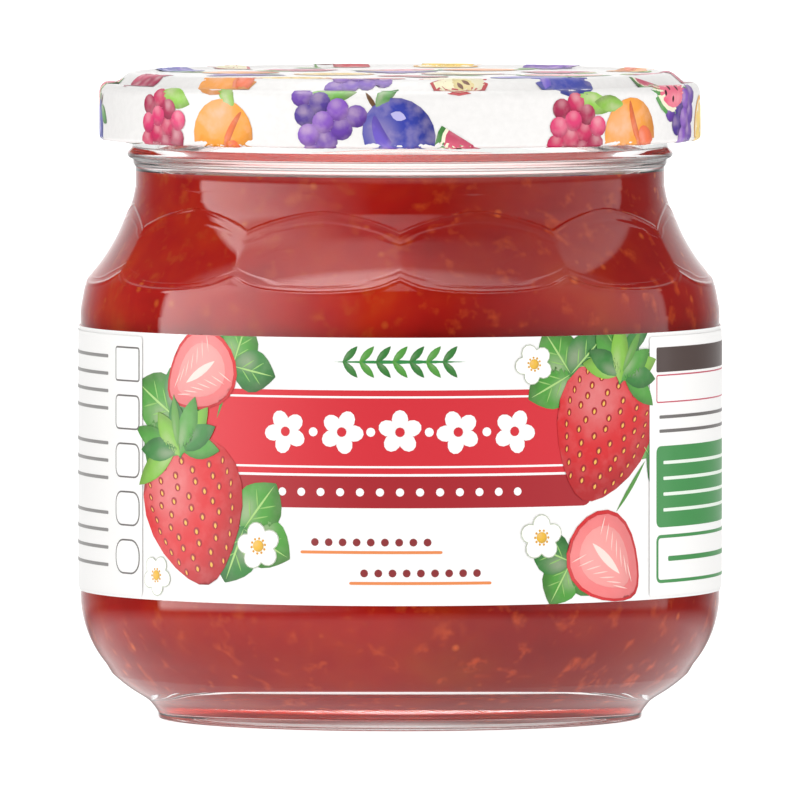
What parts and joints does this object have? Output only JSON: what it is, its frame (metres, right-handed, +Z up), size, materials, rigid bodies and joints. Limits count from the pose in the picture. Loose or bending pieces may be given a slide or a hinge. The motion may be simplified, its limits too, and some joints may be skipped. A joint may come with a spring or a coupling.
{
  "type": "jam jar",
  "caption": "Squat glass jar with a scalloped shoulder, full of strawberry jam, with a printed metal twist-off cap and a wrapped paper label.",
  "frame": {"origin": "centre of the foot ring, on the surface that the jar stands on", "axes": "+Z up along the jar's axis, -Y out of the middle of the label"},
  "size_m": [0.0782, 0.0782, 0.0785],
  "materials": {
    "clear_glass": "clear moulded soda-lime glass, smooth and shiny",
    "strawberry_jam": "strawberry jam: deep red, translucent, wet, with lighter fruit and seeds",
    "printed_tinplate": "white enamel on tinplate with a many-coloured fruit print under clear varnish",
    "label_paper": "coated white paper printed in red and green, slightly glossy"
  },
  "bodies": {
    "root": {"glass_jar": "clear_glass", "jam": "strawberry_jam", "lid": "printed_tinplate", "label": "label_paper"}
  },
  "joints": []
}
